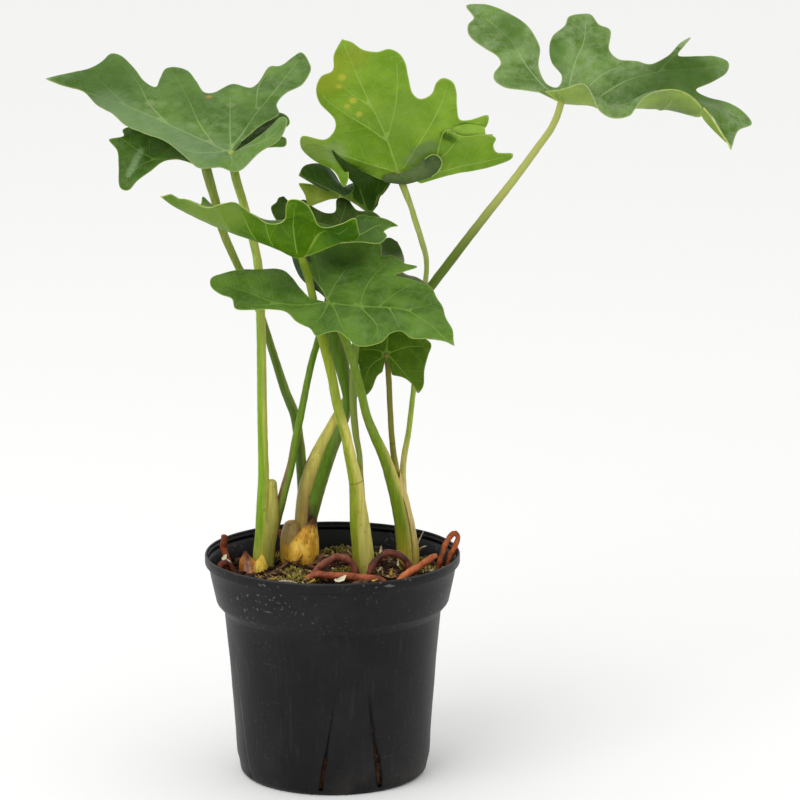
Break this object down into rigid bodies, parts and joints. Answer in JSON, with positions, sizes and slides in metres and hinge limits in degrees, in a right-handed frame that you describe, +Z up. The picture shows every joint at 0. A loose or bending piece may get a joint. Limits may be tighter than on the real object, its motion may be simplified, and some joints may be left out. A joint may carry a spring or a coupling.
{
  "type": "potted lacy tree philodendron",
  "caption": "Young lacy tree philodendron with lobed, waved leaves on long stalks and red-brown aerial roots, in a round black nursery pot filled with soil.",
  "frame": {"origin": "centre of the pot's flat underside, on the surface that it stands on", "axes": "+Z up; -Y towards the pictured side; +X to the right in the picture"},
  "size_m": [0.2843, 0.1136, 0.3129],
  "materials": {
    "pot": "thin black nursery-pot plastic, satin, dusty and finely scratched",
    "soil": "dark damp potting soil with moss and wood chips",
    "petiole_green": "smooth yellow-green leaf stalk, satin",
    "petiole_olive": "smooth olive leaf stalk, satin",
    "blade_bloom": "leathery green leaf with a grey bloom, satin",
    "blade_deep": "leathery dark green leaf, satin",
    "blade_light": "yellow-green underside of a leaf, satin",
    "blade_bright": "bright green underside of a leaf, satin",
    "bract": "dry papery scale leaf, yellow to brown",
    "root_brown": "smooth reddish brown aerial root",
    "root_orange": "smooth orange-brown aerial root"
  },
  "bodies": {
    "root": {"pot": "pot", "soil": "soil", "stems_left": "petiole_green", "stems_back": "petiole_olive", "stems_centre": "petiole_green", "stems_right": "petiole_green", "root_left_hook": "root_brown", "root_left_low": "root_brown", "root_centre_arch": "root_brown", "root_front_long": "root_brown", "root_right_arch": "root_brown", "root_right_leaning": "root_orange", "root_right_loop": "root_orange", "root_back_stub": "root_brown", "leaf_left_upper": "blade_bloom", "leaf_left_behind": "blade_deep", "leaf_centre_upright": "blade_light", "leaf_centre_folded": "blade_deep", "leaf_front_boat": "blade_bright", "leaf_front_broad": "blade_bloom", "leaf_middle_dark": "blade_deep", "leaf_right_high": "blade_bloom", "leaf_low_hanging": "blade_deep", "leaf_middle_small": "blade_deep", "bract_back": "bract", "bract_left": "bract"}
  },
  "joints": []
}
